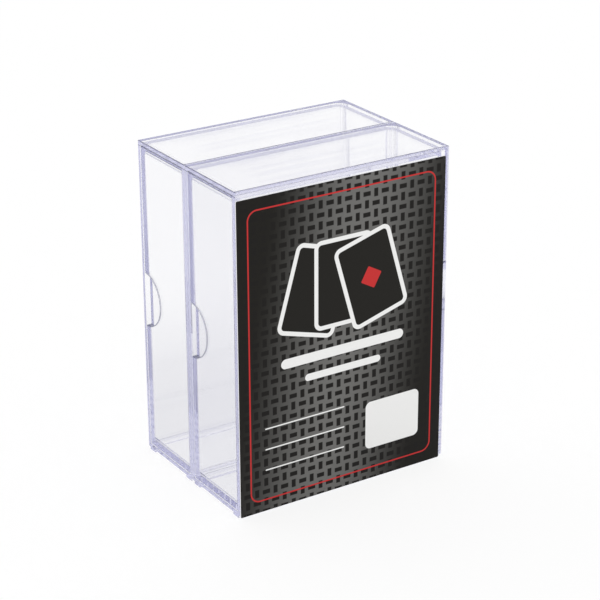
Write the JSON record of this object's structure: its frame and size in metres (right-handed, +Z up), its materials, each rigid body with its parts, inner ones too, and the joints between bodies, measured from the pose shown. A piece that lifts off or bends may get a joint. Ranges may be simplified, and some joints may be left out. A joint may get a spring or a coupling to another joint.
{
  "type": "card storage box",
  "caption": "Clear slide-out boxes for trading cards, standing back to back, each a sleeve with a pull-out drawer, and a dark printed card on the front.",
  "frame": {"origin": "middle of the base, on the surface that the pair stands on", "axes": "+Z up, +Y from the printed card to the back of the rear box, +X from the open ends with the drawers to the closed ends"},
  "size_m": [0.0716, 0.0542, 0.0992],
  "materials": {
    "sleeve_plastic": "polished",
    "drawer_plastic": "polished",
    "printed_card": "satin"
  },
  "bodies": {
    "front_box": {"front_sleeve": "sleeve_plastic", "printed_card": "printed_card"},
    "front_drawer": {"front_drawer": "drawer_plastic"},
    "rear_box": {"rear_sleeve": "sleeve_plastic"},
    "rear_drawer": {"rear_drawer": "drawer_plastic"}
  },
  "joints": [
    {"name": "front_drawer_slide", "type": "slide", "parent": "front_box", "child": "front_drawer", "axis": [-1, 0, 0], "range_m": [0, 0.0693]},
    {"name": "rear_box_part", "type": "slide", "parent": "front_box", "child": "rear_box", "axis": [0, 1, 0], "range_m": [0, 0.06]},
    {"name": "rear_drawer_slide", "type": "slide", "parent": "rear_box", "child": "rear_drawer", "axis": [-1, 0, 0], "range_m": [0, 0.0693]}
  ]
}
